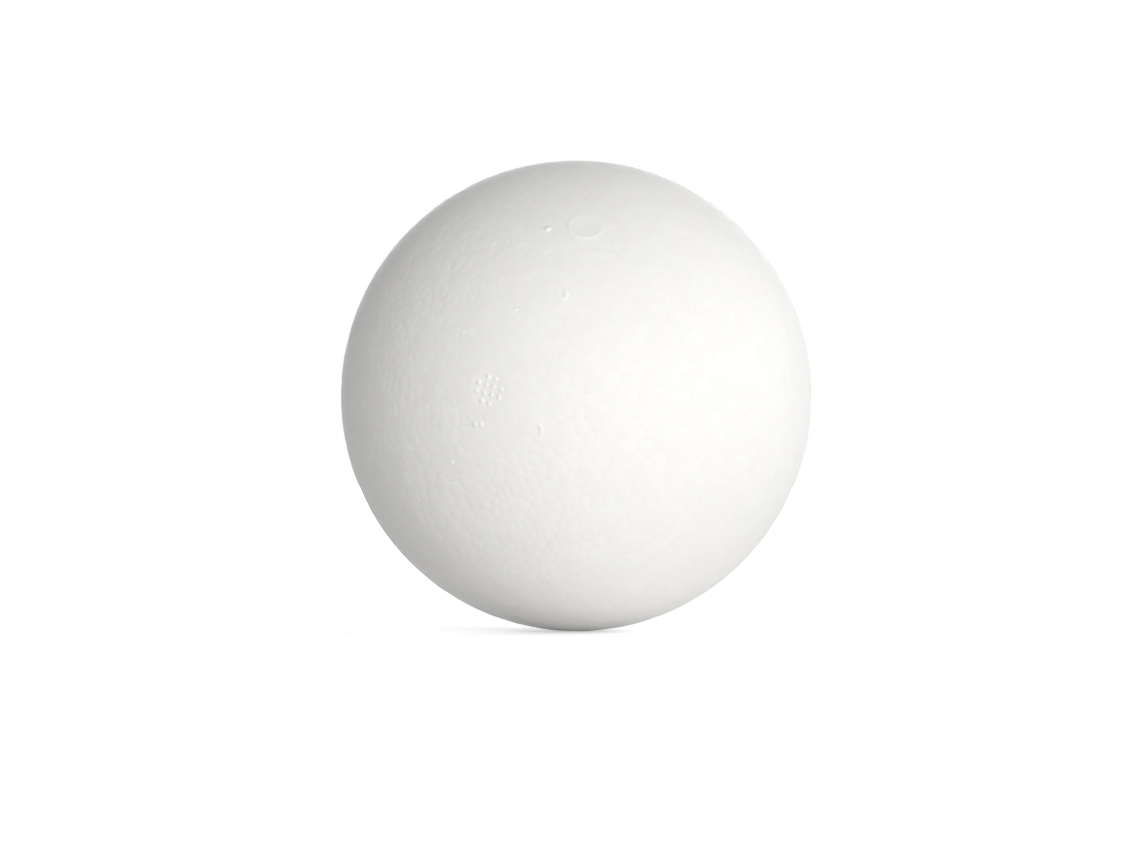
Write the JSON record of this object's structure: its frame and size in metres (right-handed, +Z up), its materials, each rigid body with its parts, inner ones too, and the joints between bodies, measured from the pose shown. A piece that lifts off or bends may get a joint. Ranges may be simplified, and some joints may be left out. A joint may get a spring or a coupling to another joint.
{
  "type": "polystyrene ball",
  "caption": "Round white ball of moulded bead foam with a fine mould seam, a nubbed steam vent print and a ringed filler print.",
  "frame": {"origin": "the centre of the ball", "axes": "+Y along the axis on which the mould opened, from the half with the prints to the plain half; +Z up as pictured; +X to the right as pictured"},
  "size_m": [0.1002, 0.1, 0.1002],
  "materials": {
    "white_foam": "matte"
  },
  "bodies": {
    "root": {"foam_ball": "white_foam"}
  },
  "joints": []
}
